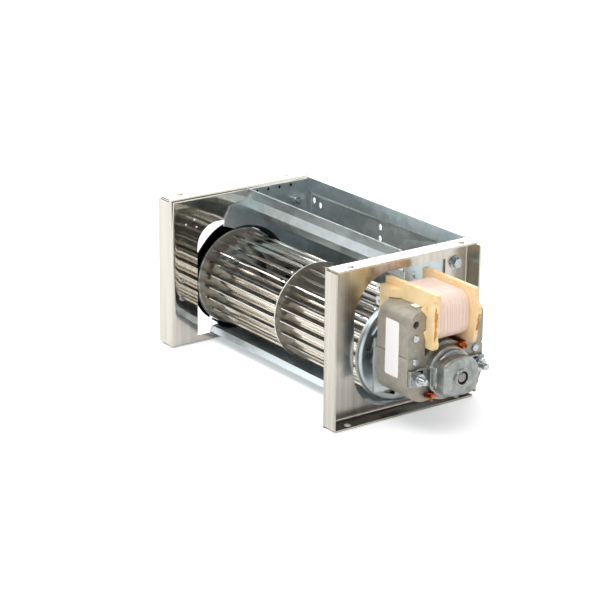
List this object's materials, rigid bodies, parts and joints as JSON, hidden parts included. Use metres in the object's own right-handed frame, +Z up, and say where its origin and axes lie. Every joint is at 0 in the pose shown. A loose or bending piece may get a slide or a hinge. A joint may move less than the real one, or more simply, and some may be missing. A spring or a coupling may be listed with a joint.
{
  "type": "crossflow fan",
  "caption": "Compact tangential blower: flanged metal end plates carry a curved sheet air duct and a long drum impeller driven by a shaded-pole motor outside one plate.",
  "frame": {"origin": "centre of the base bolt pattern, on the base face of the end plates", "axes": "+X along the impeller axis towards the motor, +Y from the air inlet towards the rear panel, +Z up"},
  "size_m": [0.2348, 0.106, 0.097],
  "materials": {
    "stainless": "brushed",
    "galvanised": "galvanised",
    "blade_steel": "rolled",
    "lamination_steel": "lacquered stampings",
    "zinc_casting": "die-cast",
    "rotor_casting": "die-cast",
    "steel": "zinc plated",
    "shaft_steel": "ground",
    "bobbin_plastic": "moulded",
    "coil_tape": "taped winding",
    "copper": "bare copper",
    "bush_bronze": "sintered",
    "rubber": "moulded"
  },
  "bodies": {
    "housing": {"end_plate_left": "stainless", "end_plate_right": "stainless", "side_sheet_left": "galvanised", "side_sheet_right": "galvanised", "outlet_channel": "galvanised", "scroll_wall": "galvanised", "rear_panel": "galvanised", "bearing_strap": "galvanised", "bearing_rubber": "rubber", "bearing_bush_left": "bush_bronze", "strap_screws": "steel", "stator_lower": "lamination_steel", "stator_upper": "lamination_steel", "bobbin": "bobbin_plastic", "coil": "coil_tape", "coil_terminals": "steel", "shading_rings": "copper", "stack_rivets": "steel", "bearing_bracket_front": "zinc_casting", "bearing_bracket_rear": "zinc_casting", "motor_bush_front": "bush_bronze", "motor_bush_rear": "bush_bronze", "bush_retainers": "steel", "motor_bracket": "galvanised", "tie_bolts": "steel", "tie_nuts": "steel", "bracket_screws": "steel", "flange_bolts": "steel", "clinch_nuts": "steel"},
    "impeller": {"fan_blades_left": "blade_steel", "fan_blades_right": "blade_steel", "blade_ring_left": "blade_steel", "blade_ring_right": "blade_steel", "mid_disc": "blade_steel", "end_cap_left": "galvanised", "end_cap_right": "galvanised", "end_hub_left": "zinc_casting", "end_hub_right": "zinc_casting", "hub_set_screws": "steel", "stub_shaft": "shaft_steel", "motor_shaft": "shaft_steel", "rotor_core": "lamination_steel", "rotor_rings": "rotor_casting"}
  },
  "joints": [
    {"name": "impeller_spin", "type": "hinge", "parent": "housing", "child": "impeller", "pos_m": [0, 0.0005, 0.038], "axis": [1, 0, 0], "continuous": true}
  ]
}
